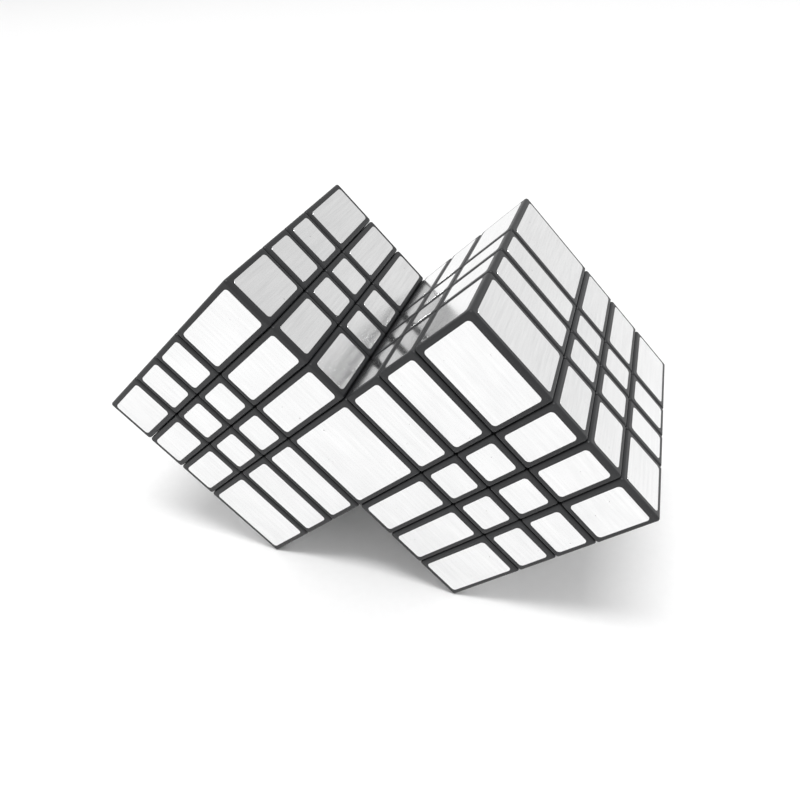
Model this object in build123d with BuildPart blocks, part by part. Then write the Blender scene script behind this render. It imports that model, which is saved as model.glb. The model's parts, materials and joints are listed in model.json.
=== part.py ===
from build123d import *

import itertools
import math
import os

# Siamese mirror block puzzle: two 4x4x4 mirror cubes that share one column of blocks.
#
# Each cube is cut into four layers along each of its three axes. The layers differ in thickness, so blocks
# differ in size. The blocks interlock round a ball: corner blocks hook under edge blocks, edge blocks under
# centre blocks, and centre blocks under a hidden ring of caps and inner edges. Screws with springs hold the
# caps to the cube's core.
#
# A cube's own frame has its core at the origin. Its x layers are numbered 0 to 3 from low to high, and so are
# its y and z layers. In the row's frame +X is to the right, +Y to the back and +Z up. The puzzle stands on
# one long edge of each cube, and the origin is at the middle of its box, on the surface that it stands on.
# All sizes are in millimetres.

# The blocks
CUBE = 60.0  # each cube's side
INNER = 11.0  # thickness of the two inner layers, on every axis
THIN_X = 13.4  # thickness of the thin outer layer on each axis; the other outer layer takes what is left
THIN_Y = 15.6
THIN_Z = 16.9
GAP = 0.12  # running gap between blocks; half of it is left all round a cube, for the stickers
EDGE_ROUND = 0.7  # rounding of the blocks' edges
STICKER_MARGIN = 1.45  # from the sticker to where the layers meet
STICKER_ROUND = 0.9

# The ball's shells, from the outside inwards
NECK = 2.6  # how far the ball stands over the inner layers' corners
CORNER_FOOT = 2.6
EDGE_FOOT = 2.7
CENTRE_FOOT = 2.6
SKIRT = 2.15
LINK_FOOT = 2.1
HOOK = 0.06  # how much further a foot reaches sideways than what holds it down, as a share of its radius
SKIRT_ANGLE = 38.0  # half-angle of a cap's skirt, in degrees
RIM = 3.9  # half-width of the hidden ring where centre blocks hook under it
WEB = 2.95  # half-width of the ring below its rim
LAP = 0.3  # how far a joining neck runs into the two pieces that it joins

# The core and its fasteners
HUB_RADIUS = 5.0
ARM_RADIUS = 2.6
STEM_RADIUS = 3.0
ARM_PLAY = 0.2  # between an arm's end and the stem of its cap
SCREW_RADIUS = 0.95
SCREW_GRIP = 4.0  # the screw's length inside its arm
SCREW_CHAMFER = 0.4
SCREW_TIP_PLAY = 0.5
THREAD_PLAY = 0.05
BORE_PLAY = 0.25
HEAD_RADIUS = 1.85
HEAD_HEIGHT = 1.4
HEAD_ROUND = 0.5
DRIVE_LENGTH = 2.3  # the cross recess in the screw's head
DRIVE_WIDTH = 0.45
DRIVE_DEPTH = 0.7
POCKET_PLAY = 0.25  # between the screw's head and the wall of the cap's pocket
POCKET_FLOOR = 0.5  # from the skirt's underside to the floor of the pocket
WASHER = 0.4  # thickness
SPRING_LENGTH = 3.8
SPRING_WIRE = 0.24  # radius
SPRING_TURNS = 4.5
SPRING_PLAY = 0.15  # between the spring and the wall of the pocket
SEAT_PLAY = 0.02  # between the spring's ends and what they press on

# Radii and reaches that follow. A foot reaches to where its distance along an axis is this share of its
# radius.
half_gap = GAP / 2
ball = INNER * math.sqrt(3) + NECK
under_corner = ball - CORNER_FOOT
under_edge = under_corner - EDGE_FOOT
under_centre = under_edge - CENTRE_FOOT
under_skirt = under_centre - SKIRT
under_link = under_skirt - LINK_FOOT
corner_reach = INNER / ball - HOOK
edge_reach = corner_reach - HOOK
centre_reach = edge_reach + 2 * HOOK
skirt_reach = math.cos(math.radians(SKIRT_ANGLE))
neck_reach = math.sin(math.radians(SKIRT_ANGLE))
link_reach = neck_reach - 2 * HOOK
REACH_LENGTH = 2 * CUBE  # cutting tools run well past what they cut

# The cut planes of the three axes, and the column that both cubes own: the last x layer and the first y layer
THICK_X, THICK_Y, THICK_Z = (CUBE - 2 * INNER - thin for thin in (THIN_X, THIN_Y, THIN_Z))
CUTS = [
    (-INNER - THIN_X, -INNER, 0.0, INNER, INNER + THICK_X),
    (-INNER - THICK_Y, -INNER, 0.0, INNER, INNER + THIN_Y),
    (-INNER - THIN_Z, -INNER, 0.0, INNER, INNER + THICK_Z),
]
LAST = 3
SHARED_X = LAST
SHARED_Y = 0
column_x = (CUTS[0][SHARED_X] + CUTS[0][SHARED_X + 1]) / 2
column_y = (CUTS[1][SHARED_Y] + CUTS[1][SHARED_Y + 1]) / 2

# One cube's axes, and the second cube's frame seen from the first: half a turn about the column
FIRST = Plane.XY
SECOND = Plane(origin=(2 * column_x, 2 * column_y, 0), x_dir=(-1, 0, 0), z_dir=(0, 0, 1))
AXES = [Plane.YZ, Plane.ZX, Plane.XY]

# The row's frame. The line through the two edges that the puzzle stands on is level.
span_x = CUBE - THICK_X
span_y = CUBE - THICK_Y
span = math.hypot(span_x, span_y)
cube_x = Vector(span_x, 0, -span_y) / span
cube_y = Vector(-span_y, 0, -span_x) / span
inset = half_gap + EDGE_ROUND
core_height = EDGE_ROUND - (CUTS[0][-1] - inset) * cube_x.Z - (CUTS[1][-1] - inset) * cube_y.Z
column_offset = cube_x * column_x + cube_y * column_y
depth_offset = (CUTS[2][0] + CUTS[2][-1]) / 2
left_core = Vector(-column_offset.X, -depth_offset, core_height)
right_core = left_core + column_offset * 2
LEFT = Plane(origin=left_core, x_dir=cube_x, z_dir=(0, 1, 0))
RIGHT = Plane(origin=right_core, x_dir=-cube_x, z_dir=(0, 1, 0))

FROM_BASE = (Align.CENTER, Align.CENTER, Align.MIN)


def reach_cone(axis, reach, shift, mode):
    """Cut with the cone where distance along a positive axis is a share of the radius, moved out by shift."""
    half_angle = math.acos(reach)
    with Locations(AXES[axis].offset(shift / math.sin(half_angle))):
        Cone(0, REACH_LENGTH * math.tan(half_angle), REACH_LENGTH, align=FROM_BASE, mode=mode)


def shell_part(low, high, outer, inner, outer_reach, inner_reach, slot, wall=0.0):
    """Part of the ball between two radii, in the first octant.

    On its outer axes it lies past their cones and past the wall plane. On its inner axes it lies short of
    their cones and past the slot plane.
    """
    with BuildPart() as part:
        Sphere(high, arc_size1=0, arc_size2=90, arc_size3=90, align=None)
        Sphere(low, align=None, mode=Mode.SUBTRACT)
        for axis in outer:
            reach_cone(axis, outer_reach, half_gap, Mode.INTERSECT)
            if wall:
                split(bisect_by=AXES[axis].offset(wall), keep=Keep.TOP)
        for axis in inner:
            reach_cone(axis, inner_reach, -half_gap, Mode.SUBTRACT)
            split(bisect_by=AXES[axis].offset(slot + half_gap), keep=Keep.TOP)
    return part.part


def foot(outer, inner, shells):
    """A block's foot for the first octant: a part in each shell (underside, reach, slot), and its necks."""
    reach = shells[0][1]
    wall = INNER + inset if inner and len(outer) > 1 else 0.0
    top = ball
    above = (reach, EDGE_ROUND)
    with BuildPart() as part:
        for under, reach, slot in shells:
            neck = (max(above[0], reach), min(above[0], reach), max(above[1], slot))
            add(shell_part(under + half_gap, top - half_gap, outer, inner, reach, reach, slot))
            if inner:
                add(shell_part(top - half_gap - LAP, top + half_gap + LAP, outer, inner, *neck, wall))
            above = (reach, slot)
            top = under
            wall = 0.0
    return part.part


corner_shell = (under_corner, corner_reach, 0.0)
edge_shell = (under_edge, edge_reach, RIM)
centre_shell = (under_centre, centre_reach, WEB)
FEET = {
    3: foot((0, 1, 2), (), [corner_shell]),
    2: foot((0, 1), (2,), [corner_shell, edge_shell]),
    1: foot((0,), (1, 2), [corner_shell, edge_shell, centre_shell]),
}


def side_of(layer):
    """Which side of the core a layer is on."""
    return 1 if layer > 1 else -1


def outer_axes(index):
    """The axes on which a block is in an outer layer."""
    return [axis for axis in range(3) if index[axis] in (0, LAST)]


def octant(index):
    """The frame that takes a foot from the first octant to its block's octant, outer axes first."""
    outer = outer_axes(index)
    order = outer + [axis for axis in range(3) if axis not in outer]
    x_dir, y_dir, z_dir = (AXES[axis].z_dir * side_of(index[axis]) for axis in order)
    if x_dir.cross(y_dir).dot(z_dir) < 0:  # a foot is the same with two like axes swapped
        if len(outer) > 1:
            x_dir = y_dir
        else:
            z_dir = y_dir
    return Location(Plane(origin=(0, 0, 0), x_dir=x_dir, z_dir=z_dir))


def cell(index):
    """A block's nominal centre and size."""
    bounds = [(CUTS[axis][layer], CUTS[axis][layer + 1]) for axis, layer in enumerate(index)]
    return [(low + high) / 2 for low, high in bounds], [high - low for low, high in bounds]


def block(index, cores=(FIRST,)):
    """A block, with a foot towards each core that it turns round."""
    centre, size = cell(index)
    outer = len(outer_axes(index))
    with BuildPart() as part:
        with Locations(tuple(centre)):
            Box(*(length - GAP for length in size))
        fillet(part.edges(), EDGE_ROUND)
        for core in cores:
            if outer < 3:
                with Locations(core):
                    Sphere(ball + half_gap, mode=Mode.SUBTRACT)
            with Locations(core.location * octant(index)):
                add(FEET[outer])
    return part.part


def stickers(index, axes):
    """A block's stickers on its outer faces, which bring it out to its nominal size."""
    centre, size = cell(index)
    with BuildPart() as part:
        for axis in axes:
            side = side_of(index[axis])
            place = Vector(*centre) + AXES[axis].z_dir * side * (size[axis] / 2 - half_gap)
            face = Plane(origin=place, x_dir=AXES[axis].x_dir, z_dir=AXES[axis].z_dir * side)
            width = size[(axis + 1) % 3] - 2 * STICKER_MARGIN
            height = size[(axis + 2) % 3] - 2 * STICKER_MARGIN
            with BuildSketch(face):
                RectangleRounded(width, height, STICKER_ROUND)
            extrude(amount=half_gap)
    return part.part


# The hidden ring. Caps and fasteners are made along +Z, and inner edges between +X and +Y.
pocket_radius = HEAD_RADIUS + POCKET_PLAY
pocket_floor = under_skirt + half_gap + POCKET_FLOOR
spring_top = pocket_floor + SPRING_LENGTH
head_seat = spring_top + WASHER
head_top = head_seat + HEAD_HEIGHT
arm_end = under_link - ARM_PLAY
screw_tip = arm_end - SCREW_GRIP
rim_width = 2 * (RIM - half_gap)
web_width = 2 * (WEB - half_gap)

with BuildPart() as cap_rim:
    Sphere(under_corner - half_gap)
    Sphere(under_edge + half_gap, mode=Mode.SUBTRACT)
    Box(rim_width, rim_width, REACH_LENGTH, align=FROM_BASE, mode=Mode.INTERSECT)

with BuildPart() as cap:
    Sphere(under_centre - half_gap)
    Sphere(under_skirt + half_gap, mode=Mode.SUBTRACT)
    reach_cone(2, skirt_reach, half_gap, Mode.INTERSECT)
    add(cap_rim.part)
    with Locations((0, 0, under_skirt + SKIRT / 2)):
        Box(web_width, web_width, under_edge - under_skirt, align=FROM_BASE)
    with Locations((0, 0, under_link)):
        Cylinder(STEM_RADIUS, under_skirt + SKIRT / 2 - under_link, align=FROM_BASE)
        Cylinder(SCREW_RADIUS + BORE_PLAY, ball, align=FROM_BASE, mode=Mode.SUBTRACT)
    with Locations((0, 0, pocket_floor)):
        Cylinder(pocket_radius, ball, align=FROM_BASE, mode=Mode.SUBTRACT)

LINK_SHELLS = [
    (under_edge, under_corner, edge_reach, rim_width),
    (under_centre, under_edge, centre_reach, web_width),
    (under_skirt, under_centre, neck_reach, web_width),
    (under_link, under_skirt, link_reach, web_width),
]


def link_part(low, high, reach, width):
    """The part of an inner edge between two radii."""
    with BuildPart() as part:
        Sphere(high)
        Sphere(low, mode=Mode.SUBTRACT)
        Box(REACH_LENGTH, REACH_LENGTH, width, mode=Mode.INTERSECT)
        reach_cone(0, reach, half_gap, Mode.INTERSECT)
        reach_cone(1, reach, half_gap, Mode.INTERSECT)
    return part.part


with BuildPart() as inner_edge:
    for under, top, reach, width in LINK_SHELLS:
        add(link_part(under + half_gap, top - half_gap, reach, width))
    for (_, _, outer_reach, outer_width), (_, top, reach, width) in itertools.pairwise(LINK_SHELLS):
        lap = half_gap + LAP
        add(link_part(top - lap, top + lap, max(outer_reach, reach), min(outer_width, width)))

with BuildPart() as screw:
    with Locations((0, 0, screw_tip)):
        Cylinder(SCREW_RADIUS, head_seat - screw_tip, align=FROM_BASE)
    chamfer(screw.edges().sort_by(Axis.Z)[0], SCREW_CHAMFER)
    with Locations((0, 0, head_seat)):
        Cylinder(HEAD_RADIUS, HEAD_HEIGHT, align=FROM_BASE)
    fillet(screw.edges().sort_by(Axis.Z)[-1], HEAD_ROUND)
    with Locations((0, 0, head_top)):
        Box(DRIVE_LENGTH, DRIVE_WIDTH, 2 * DRIVE_DEPTH, mode=Mode.SUBTRACT)
        Box(DRIVE_WIDTH, DRIVE_LENGTH, 2 * DRIVE_DEPTH, mode=Mode.SUBTRACT)

with BuildPart() as washer:
    with Locations((0, 0, spring_top)):
        Cylinder(pocket_radius - SPRING_PLAY, WASHER, align=FROM_BASE)
        Cylinder(SCREW_RADIUS + BORE_PLAY, WASHER, align=FROM_BASE, mode=Mode.SUBTRACT)

coil_height = SPRING_LENGTH - 2 * (SPRING_WIRE + SEAT_PLAY)
coil_radius = pocket_radius - SPRING_PLAY - SPRING_WIRE
with BuildPart() as spring:
    with BuildLine(Plane.XY.offset(pocket_floor + SEAT_PLAY + SPRING_WIRE)) as coil:
        Helix(coil_height / SPRING_TURNS, coil_height, coil_radius)
    with BuildSketch(Plane(origin=coil.line @ 0, z_dir=coil.line % 0)):
        Circle(SPRING_WIRE)
    sweep(path=coil.line, is_frenet=True)


def ray(axis, side):
    """The frame that takes a piece from +Z to one of the six directions."""
    return Plane(origin=(0, 0, 0), x_dir=AXES[axis].x_dir, z_dir=AXES[axis].z_dir * side)


def corner_ray(first, first_side, second, second_side):
    """The frame that takes an inner edge from between +X and +Y to between two directions."""
    x_dir = AXES[first].z_dir * first_side
    y_dir = AXES[second].z_dir * second_side
    return Plane(origin=(0, 0, 0), x_dir=x_dir, z_dir=x_dir.cross(y_dir))


RAYS = list(itertools.product(range(3), (-1, 1)))

with BuildPart() as core:
    Sphere(HUB_RADIUS)
    with Locations(*(ray(axis, side) for axis, side in RAYS)):
        Cylinder(ARM_RADIUS, arm_end, align=FROM_BASE)
    with Locations(*(ray(axis, side).offset(screw_tip - SCREW_TIP_PLAY) for axis, side in RAYS)):
        Cylinder(SCREW_RADIUS + THREAD_PLAY, arm_end, align=FROM_BASE, mode=Mode.SUBTRACT)

# Every block of a cube, by its layer numbers. Both cubes are alike, and they share the last column.
INDICES = [
    index
    for index in itertools.product(range(LAST + 1), repeat=3)
    if outer_axes(index) and index[:2] != (SHARED_X, SHARED_Y)
]
blocks = {index: block(index) for index in INDICES}
block_stickers = {index: stickers(index, outer_axes(index)) for index in INDICES}

# For each cube: its frame, the axis that its loose layers turn about, and which layer is which
KINDS = {3: "corners", 2: "edges", 1: "centres"}
CUBES = {
    "left": (LEFT, 0, {"outer_layer": 0, "slice_a": 1, "slice_b": 2, "fixed_layer": 3}),
    "right": (RIGHT, 1, {"outer_layer": 3, "slice_a": 2, "slice_b": 1, "fixed_layer": 0}),
}
os.makedirs("parts", exist_ok=True)


def write_node(name, frame, pieces, places=(FIRST,)):
    """Write pieces of a cube as one named node, each of them at each place."""
    with BuildPart() as node:
        for place in places:
            with Locations(frame.location * place.location):
                for piece in pieces:
                    add(piece)
    node.part.label = name
    export_step(node.part, f"parts/{name}.step")


for cube, (frame, turn_axis, layers) in CUBES.items():
    for layer, number in layers.items():
        members = [index for index in INDICES if index[turn_axis] == number]
        for outer, kind in KINDS.items():
            pieces = [blocks[index] for index in members if len(outer_axes(index)) == outer]
            if pieces:
                write_node(f"{cube}_{layer}_{kind}", frame, pieces)
        write_node(f"{cube}_{layer}_stickers", frame, [block_stickers[index] for index in members])

    turning = (turn_axis, side_of(layers["outer_layer"]))
    caps = {"turning": [turning], "fixed": [place for place in RAYS if place != turning]}
    for state, places in caps.items():
        write_node(f"{cube}_{state}_caps", frame, [cap.part], [ray(*place) for place in places])
    links = [pair for pair in itertools.combinations(RAYS, 2) if pair[0][0] != pair[1][0]]
    for state, wanted in (("turning", True), ("fixed", False)):
        places = [corner_ray(*a, *b) for a, b in links if (turning in (a, b)) == wanted]
        write_node(f"{cube}_{state}_inner_edges", frame, [inner_edge.part], places)

    write_node(f"{cube}_core", frame, [core.part])
    for name, fastener in (("screws", screw), ("washers", washer), ("springs", spring)):
        write_node(f"{cube}_{name}", frame, [fastener.part], [ray(*place) for place in RAYS])

# The column that both cubes own
column = [(SHARED_X, SHARED_Y, layer) for layer in range(LAST + 1)]
ends = [index for index in column if index[2] in (0, LAST)]
middles = [index for index in column if index not in ends]
write_node("shared_corner_blocks", LEFT, [block(index, (FIRST, SECOND)) for index in ends])
write_node("shared_edge_blocks", LEFT, [block(index, (FIRST, SECOND)) for index in middles])
write_node("shared_stickers", LEFT, [stickers(index, (2,)) for index in ends])
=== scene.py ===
import json
import math
import random

import bmesh
import bpy
from mathutils import Matrix, Vector

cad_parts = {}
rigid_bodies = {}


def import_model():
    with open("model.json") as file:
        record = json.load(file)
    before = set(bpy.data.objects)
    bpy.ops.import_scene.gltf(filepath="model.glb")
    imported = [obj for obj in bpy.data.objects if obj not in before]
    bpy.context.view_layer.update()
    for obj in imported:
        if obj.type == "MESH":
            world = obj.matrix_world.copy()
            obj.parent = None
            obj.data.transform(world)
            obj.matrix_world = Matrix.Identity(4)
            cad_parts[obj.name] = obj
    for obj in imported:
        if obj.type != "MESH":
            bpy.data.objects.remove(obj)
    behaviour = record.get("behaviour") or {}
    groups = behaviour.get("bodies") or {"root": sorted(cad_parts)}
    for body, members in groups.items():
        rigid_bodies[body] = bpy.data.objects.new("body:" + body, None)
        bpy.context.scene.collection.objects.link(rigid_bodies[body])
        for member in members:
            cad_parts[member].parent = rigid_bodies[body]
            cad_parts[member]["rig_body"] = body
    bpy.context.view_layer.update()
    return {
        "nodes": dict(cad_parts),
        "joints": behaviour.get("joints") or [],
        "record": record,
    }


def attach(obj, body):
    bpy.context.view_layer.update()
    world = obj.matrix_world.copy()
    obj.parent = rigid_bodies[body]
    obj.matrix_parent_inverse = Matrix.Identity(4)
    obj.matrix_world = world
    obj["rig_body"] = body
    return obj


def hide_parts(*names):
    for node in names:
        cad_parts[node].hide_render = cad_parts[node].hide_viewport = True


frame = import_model()

MM = 0.001

# The camera: its place from the left cube's core, which way it looks, and its lens
CAMERA_FROM_CORE = Vector((0.08342, -0.13187, 0.09984))
CAMERA_FORWARD = Vector((-0.2801, 0.7512, -0.5977))
CAMERA_UP = Vector((-0.1589, 0.5778, 0.8006))
LENS = 29.61
SENSOR = 36.0
CLIP_START = 5 * MM

# The light: how bright the studio is, by the sine of the height above the horizon, and its one softbox
SKY = [(0.0, 0.92), (0.2, 0.87), (0.42, 0.76), (0.7, 0.73), (1.0, 0.73)]
SOFTBOX_PLACE = Vector((0.0, -0.55, 4.0))
SOFTBOX_WIDTH = 2.6
SOFTBOX_DEPTH = 0.8
SOFTBOX_POWER = 96.0

# The floor's side
FLOOR_SIZE = 8.0

# The stickers: rounded corners, a softened edge, and how far each is turned and leans at most
FOIL_CORNER = 0.9 * MM
FOIL_CORNER_STEPS = 6
FOIL_SOFT_EDGE = 0.02 * MM
FOIL_TURN = math.radians(0.25)
FOIL_LEAN = 0.015 * MM

# Brushed foil: how often each pattern repeats in a metre, along the brush lines and across them
HAIR_LINES = (180.0, 7000.0, 1.0)
STREAKS = (70.0, 1300.0, 1.0)
CLOUDS = (60.0, 90.0, 1.0)
SPECKS = (900.0, 900.0, 1.0)
SPECK_EDGE = [(0.76, 0.0), (0.80, 1.0)]
# How far into the patterns a sticker may start
BRUSH_START = 5.0

# Two solid points closer than this are one point
SAME_PLACE = 0.001 * MM

# A mix node's sockets for colours, by number because their names repeat
MIX_LOW, MIX_HIGH, MIX_RESULT = 6, 7, 2

random.seed(7)


class Wire:
    """A number or a vector that varies over a surface: one output socket in a material."""

    def __init__(self, finish, socket):
        self.finish = finish
        self.socket = socket

    def maths(self, operation, first, second):
        return self.finish.add("ShaderNodeMath", {"operation": operation}, {0: first, 1: second})

    def __add__(self, other):
        return self.maths("ADD", self, other)

    def __radd__(self, other):
        return self.maths("ADD", other, self)

    def __sub__(self, other):
        return self.maths("SUBTRACT", self, other)

    def __rsub__(self, other):
        return self.maths("SUBTRACT", other, self)

    def __mul__(self, other):
        return self.maths("MULTIPLY", self, other)

    def __rmul__(self, other):
        return self.maths("MULTIPLY", other, self)


class Nodes:
    """A tree of shader nodes."""

    def __init__(self, tree):
        self.tree = tree

    def add(self, kind, settings=None, inputs=None, output=0):
        """A node of one kind, from its settings and its sockets' values or links. Gives one output."""
        node = self.tree.nodes.new(kind)
        for name, value in (settings or {}).items():
            if name == "stops":
                self.stops(node.color_ramp, value)
            else:
                setattr(node, name, value)
        for name, value in (inputs or {}).items():
            self.feed(node.inputs[name], value)
        return Wire(self, node.outputs[output])

    def stops(self, ramp, stops):
        """Set a ramp's places and their grey shades."""
        while len(ramp.elements) < len(stops):
            ramp.elements.new(1.0)
        for element, (place, shade) in zip(ramp.elements, stops):
            element.position = place
            element.color = (shade, shade, shade, 1.0)

    def feed(self, socket, value):
        if isinstance(value, Wire):
            self.tree.links.new(value.socket, socket)
        else:
            socket.default_value = value


class Finish(Nodes):
    """A material: its nodes, and the Principled shader that they feed."""

    def __init__(self, name):
        self.material = bpy.data.materials.new(name)
        self.material.use_nodes = True
        super().__init__(self.material.node_tree)
        self.shader = self.tree.nodes["Principled BSDF"]

    def surface(self, **inputs):
        """Feed the shader's own sockets."""
        for name, value in inputs.items():
            self.feed(self.shader.inputs[name.replace("_", " ")], value)
        return self.material

    def stretched(self, vector, scale):
        """A vector with each part multiplied by its own scale."""
        return self.add("ShaderNodeMapping", {"vector_type": "POINT"}, {"Vector": vector, "Scale": scale})

    def noise(self, vector, scale, detail=2.0, roughness=0.5):
        return self.add(
            "ShaderNodeTexNoise",
            inputs={"Vector": vector, "Scale": scale, "Detail": detail, "Roughness": roughness},
        )

    def bump(self, height, distance, strength=1.0, normal=None):
        inputs = {"Height": height, "Distance": distance, "Strength": strength}
        if normal:
            inputs["Normal"] = normal
        return self.add("ShaderNodeBump", inputs=inputs)

    def mix(self, share, low, high):
        """A colour between two."""
        inputs = {"Factor": share, MIX_LOW: low, MIX_HIGH: high}
        return self.add("ShaderNodeMix", {"data_type": "RGBA"}, inputs, output=MIX_RESULT)


def brushed_foil():
    """Silver foil with fine brush lines along the first part of its UV map, which is in metres."""
    finish = Finish("brushed_silver_foil")
    place = finish.add("ShaderNodeUVMap", {"uv_map": "brush"})
    hair = finish.noise(finish.stretched(place, HAIR_LINES), 1.0, 3.0, 0.6)
    streak = finish.noise(finish.stretched(place, STREAKS), 1.0)
    cloud = finish.noise(finish.stretched(place, CLOUDS), 1.0)
    speck = finish.noise(finish.stretched(place, SPECKS), 1.0, 1.0)
    dirt = finish.add("ShaderNodeValToRGB", {"stops": SPECK_EDGE}, {"Fac": speck})
    tone = (streak * 0.4 + hair * 0.35 + cloud * 0.25) * 1.8 - 0.33
    shade = finish.mix(tone, (0.72, 0.722, 0.725, 1.0), (0.96, 0.96, 0.96, 1.0))
    marked = finish.mix(dirt * 0.5, shade, (0.35, 0.34, 0.33, 1.0))
    fine = finish.bump(hair, 0.004 * MM, 0.4)
    lines = finish.bump(streak, 0.01 * MM, 0.35, fine)
    wavy = finish.bump(cloud, 0.06 * MM, 0.4, lines)
    roughness = 0.12 + hair * 0.14 + dirt * 0.3
    return finish.surface(Base_Color=marked, Metallic=1.0, Roughness=roughness, Normal=wavy)


def black_plastic():
    """Charcoal moulded plastic with a fine grain and faint rubbed patches."""
    finish = Finish("black_moulded_plastic")
    place = finish.add("ShaderNodeTexCoord", output="Object")
    grain = finish.noise(place, 2600.0, 3.0, 0.6)
    patch = finish.noise(place, 90.0, 3.0, 0.6)
    scuff = finish.noise(finish.stretched(place, (1.0, 0.25, 1.0)), 700.0, 4.0, 0.7)
    shade = finish.mix(patch * 0.6 + scuff * 0.4, (0.008, 0.008, 0.009, 1.0), (0.026, 0.027, 0.029, 1.0))
    return finish.surface(
        Base_Color=shade,
        Roughness=0.26 + patch * 0.2 + scuff * 0.12,
        Specular_IOR_Level=0.4,
        Normal=finish.bump(grain, 0.02 * MM, 0.35),
    )


def inner_plastic():
    """Pale grey moulded plastic of the hidden ring and core."""
    finish = Finish("grey_inner_plastic")
    place = finish.add("ShaderNodeTexCoord", output="Object")
    grain = finish.noise(place, 1800.0, 3.0, 0.6)
    patch = finish.noise(place, 140.0)
    shade = finish.mix(patch, (0.42, 0.43, 0.44, 1.0), (0.58, 0.59, 0.6, 1.0))
    return finish.surface(
        Base_Color=shade,
        Roughness=0.35 + patch * 0.2,
        Normal=finish.bump(grain, 0.02 * MM, 0.3),
    )


def turned_steel(name, dark, light, roughness):
    """Bright steel with fine drawn lines."""
    finish = Finish(name)
    place = finish.add("ShaderNodeTexCoord", output="Object")
    lines = finish.noise(finish.stretched(place, (1.0, 1.0, 6.0)), 2200.0, 3.0, 0.6)
    shade = finish.mix(lines, (*dark, 1.0), (*light, 1.0))
    return finish.surface(
        Base_Color=shade,
        Metallic=1.0,
        Roughness=roughness + lines * 0.15,
        Normal=finish.bump(lines, 0.01 * MM, 0.4),
    )


def pale_floor():
    """White table top with a faint tooth."""
    finish = Finish("pale_table_top")
    place = finish.add("ShaderNodeTexCoord", output="Object")
    tooth = finish.noise(place, 400.0, 3.0, 0.6)
    shade = finish.mix(tooth, (0.86, 0.86, 0.86, 1.0), (0.9, 0.9, 0.9, 1.0))
    return finish.surface(Base_Color=shade, Roughness=0.5 + tooth * 0.1)


class Cube:
    """One cube's own axes and core, read from the joint that its outer layer turns on."""

    def __init__(self, side):
        turn = next(joint for joint in frame["joints"] if joint["name"] == f"{side}_outer_layer_turn")
        along = Vector(turn["axis"]).normalized()
        depth = Vector((0, 1, 0))
        if side == "left":
            axes = (along, depth.cross(along), depth)
        else:
            axes = (along.cross(depth), along, depth)
        self.core = Vector(turn["pos_m"])
        self.to_row = Matrix.Translation(self.core) @ Matrix(axes).transposed().to_4x4()
        self.from_row = self.to_row.inverted()


def loose_parts(mesh):
    """The vertex numbers of each separate solid in a mesh whose faces may not share vertices."""
    places = {}
    parent = list(range(len(mesh.vertices)))

    def root(number):
        while parent[number] != number:
            parent[number] = parent[parent[number]]
            number = parent[number]
        return number

    for vertex in mesh.vertices:
        key = tuple(round(part / SAME_PLACE) for part in vertex.co)
        parent[vertex.index] = root(places.setdefault(key, vertex.index))
    for edge in mesh.edges:
        first, second = edge.vertices
        parent[root(first)] = root(second)
    parts = {}
    for number in range(len(parent)):
        parts.setdefault(root(number), []).append(number)
    return list(parts.values())


def outline(width, height, corner):
    """The points of a rounded rectangle, in order."""
    points = []
    for turn, (side_x, side_y) in enumerate(((1, 1), (-1, 1), (-1, -1), (1, -1))):
        for step in range(FOIL_CORNER_STEPS + 1):
            angle = (turn + step / FOIL_CORNER_STEPS) * math.pi / 2
            x = side_x * (width / 2 - corner) + corner * math.cos(angle)
            y = side_y * (height / 2 - corner) + corner * math.sin(angle)
            points.append((x, y))
    return points


def lay_foil(shape, brush, cube, low, high):
    """One sticker: a closed thin plate with soft edges, where the CAD's own lies between low and high."""
    size = high - low
    middle = (low + high) / 2
    normal = min(range(3), key=lambda axis: size[axis])
    first, second = (normal + 1) % 3, (normal + 2) % 3
    side = 1 if middle[normal] > 0 else -1
    base = low[normal] if side > 0 else high[normal]
    turn = random.uniform(-FOIL_TURN, FOIL_TURN)
    lean = (random.uniform(-FOIL_LEAN, FOIL_LEAN), random.uniform(-FOIL_LEAN, FOIL_LEAN))
    start = (random.uniform(0, BRUSH_START), random.uniform(0, BRUSH_START))

    def ring(height, inset):
        """The plate's outline at one level. Every level but the base leans."""
        corners = []
        for x, y in outline(size[first] - 2 * inset, size[second] - 2 * inset, FOIL_CORNER - inset):
            rise = height
            if height > 0:
                rise += lean[0] * x / size[first] + lean[1] * y / size[second]
            point = Vector()
            point[first] = middle[first] + x * math.cos(turn) - y * math.sin(turn)
            point[second] = middle[second] + x * math.sin(turn) + y * math.cos(turn)
            point[normal] = base + side * rise
            corners.append(shape.verts.new(cube.to_row @ point))
        return corners

    top = size[normal] - FOIL_LEAN
    rings = [ring(0.0, 0.0), ring(top - FOIL_SOFT_EDGE, 0.0), ring(top, FOIL_SOFT_EDGE)]
    faces = [shape.faces.new(rings[-1]), shape.faces.new(rings[0][::-1])]
    for lower, upper in zip(rings, rings[1:]):
        for number, corner in enumerate(lower):
            after = (number + 1) % len(lower)
            faces.append(shape.faces.new((corner, lower[after], upper[after], upper[number])))
    # Brush lines run across the front and back, and along the depth on the other faces
    along = 0 if normal == 2 else 2
    across = 3 - normal - along
    for face in faces:
        for loop in face.loops:
            place = cube.from_row @ loop.vert.co
            loop[brush].uv = (place[along] + start[0], place[across] + start[1])
        face.smooth = False
        if side < 0:
            face.normal_flip()


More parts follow.
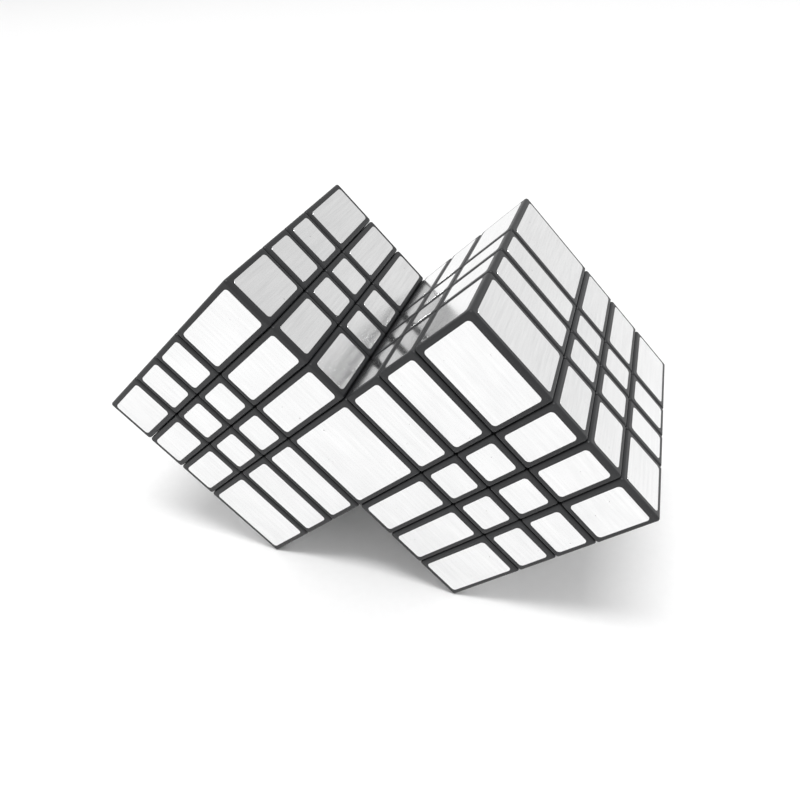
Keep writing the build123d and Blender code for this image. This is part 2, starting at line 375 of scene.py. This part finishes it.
def foil_piece(node, cubes, material):
    """All the stickers of one CAD node, as one piece that stands for it."""
    cad = frame["nodes"][node]
    cube = cubes["right" if node.startswith("right") else "left"]
    shape = bmesh.new()
    brush = shape.loops.layers.uv.new("brush")
    for part in loose_parts(cad.data):
        places = [cube.from_row @ cad.data.vertices[number].co for number in part]
        low = Vector(min(place[axis] for place in places) for axis in range(3))
        high = Vector(max(place[axis] for place in places) for axis in range(3))
        lay_foil(shape, brush, cube, low, high)
    mesh = bpy.data.meshes.new(f"{node}_foil")
    shape.to_mesh(mesh)
    shape.free()
    piece = bpy.data.objects.new(f"{node}_foil", mesh)
    bpy.context.scene.collection.objects.link(piece)
    mesh.materials.append(material)
    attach(piece, cad["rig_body"])
    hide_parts(node)


def paint(node, material):
    """Give a CAD node's material slots one finish."""
    for place in frame["nodes"][node].material_slots:
        place.material = material


def make_pieces(cubes):
    """Every node of the CAD: painted as it is, or stood for by foil."""
    finishes = {
        "black_plastic": black_plastic(),
        "inner_plastic": inner_plastic(),
        "screw_steel": turned_steel("screw_steel", (0.5, 0.5, 0.5), (0.72, 0.72, 0.71), 0.25),
        "spring_steel": turned_steel("spring_wire_steel", (0.36, 0.36, 0.37), (0.6, 0.6, 0.6), 0.3),
        "silver_sticker": brushed_foil(),
    }
    for entry in frame["record"]["subparts"]:
        node, slot = entry["node"], entry["material_slot"]
        if slot == "silver_sticker":
            foil_piece(node, cubes, finishes[slot])
        else:
            paint(node, finishes[slot])


def make_stage():
    bpy.ops.mesh.primitive_plane_add(size=FLOOR_SIZE, location=(0, 0, 0))
    floor = bpy.context.object
    floor.name = "table_top"
    floor.data.materials.append(pale_floor())


def make_light():
    """A white studio and one wide softbox high overhead."""
    world = bpy.data.worlds.new("studio")
    world.use_nodes = True
    sky = Nodes(world.node_tree)
    direction = sky.add("ShaderNodeTexCoord", output="Generated")
    height = sky.add("ShaderNodeSeparateXYZ", inputs={"Vector": direction}, output="Z")
    glow = sky.add("ShaderNodeValToRGB", {"stops": SKY}, {"Fac": height})
    sky.feed(world.node_tree.nodes["Background"].inputs["Color"], glow)
    bpy.context.scene.world = world
    light = bpy.data.lights.new("softbox", "AREA")
    light.shape = "RECTANGLE"
    light.size = SOFTBOX_WIDTH
    light.size_y = SOFTBOX_DEPTH
    light.energy = SOFTBOX_POWER
    softbox = bpy.data.objects.new("softbox", light)
    softbox.location = SOFTBOX_PLACE
    softbox.rotation_euler = (-SOFTBOX_PLACE).to_track_quat("-Z", "Y").to_euler()
    bpy.context.scene.collection.objects.link(softbox)


def make_camera(core):
    """The camera, at its place from the left cube's core."""
    camera = bpy.data.cameras.new("camera")
    camera.lens = LENS
    camera.sensor_width = SENSOR
    camera.clip_start = CLIP_START
    holder = bpy.data.objects.new("camera", camera)
    right = CAMERA_FORWARD.cross(CAMERA_UP).normalized()
    up = right.cross(CAMERA_FORWARD).normalized()
    turn = Matrix((right, up, -CAMERA_FORWARD.normalized())).transposed()
    holder.matrix_world = Matrix.Translation(core + CAMERA_FROM_CORE) @ turn.to_4x4()
    bpy.context.scene.collection.objects.link(holder)
    bpy.context.scene.camera = holder


bpy.context.scene.view_settings.view_transform = "Standard"
cubes = {side: Cube(side) for side in ("left", "right")}
make_camera(cubes["left"].core)
make_stage()
make_light()
make_pieces(cubes)
